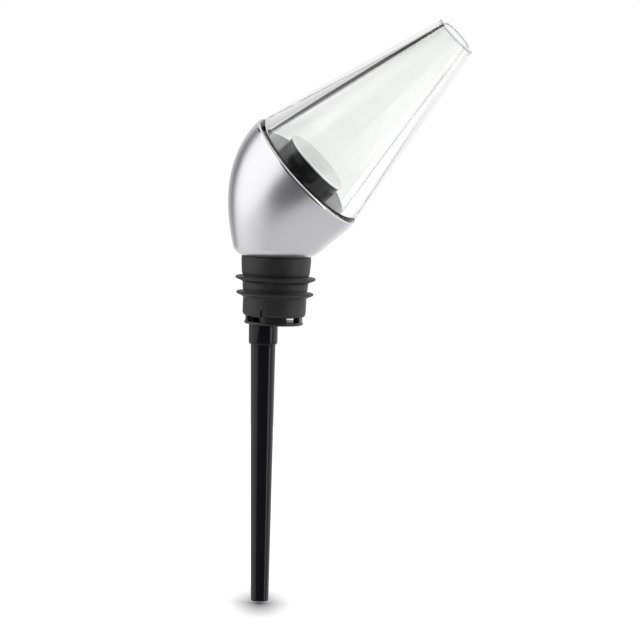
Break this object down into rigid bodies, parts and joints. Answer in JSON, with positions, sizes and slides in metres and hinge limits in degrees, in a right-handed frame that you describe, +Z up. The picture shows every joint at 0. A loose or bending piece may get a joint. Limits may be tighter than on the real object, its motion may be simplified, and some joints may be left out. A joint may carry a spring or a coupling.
{
  "type": "wine aerator pourer",
  "caption": "Bottle-top aerating pourer: finned rubber stopper with a tapered air tube below, and a rounded metal housing that leans a clear conical spout over a black diffuser.",
  "frame": {"origin": "on the stopper's axis, at the middle of the sleeve's plain land, which sits in the bottle's neck", "axes": "+Z up the stopper's axis, out of the bottle; +X the side the spout leans to; +Y across, so that the part is mirrored about the XZ plane but for the turn of its inlet windows and the sleeve's slot"},
  "size_m": [0.069, 0.0404, 0.1711],
  "materials": {
    "sleeve": "matte black",
    "core": "satin black",
    "core_seal": "matte dark grey",
    "air_tube": "glossy black",
    "air_hose": "matte dark grey",
    "housing": "satin silver",
    "spout_ring": "matte black",
    "spout": "clear, polished",
    "diffuser_base": "glossy black",
    "diffuser_cap": "glossy black",
    "baffle_disc": "satin"
  },
  "bodies": {
    "root": {"sleeve": "sleeve", "core": "core", "core_seal": "core_seal", "air_tube": "air_tube", "air_hose": "air_hose", "housing": "housing", "spout_ring": "spout_ring", "spout": "spout", "diffuser_base": "diffuser_base", "diffuser_cap": "diffuser_cap", "baffle_disc": "baffle_disc"}
  },
  "joints": []
}
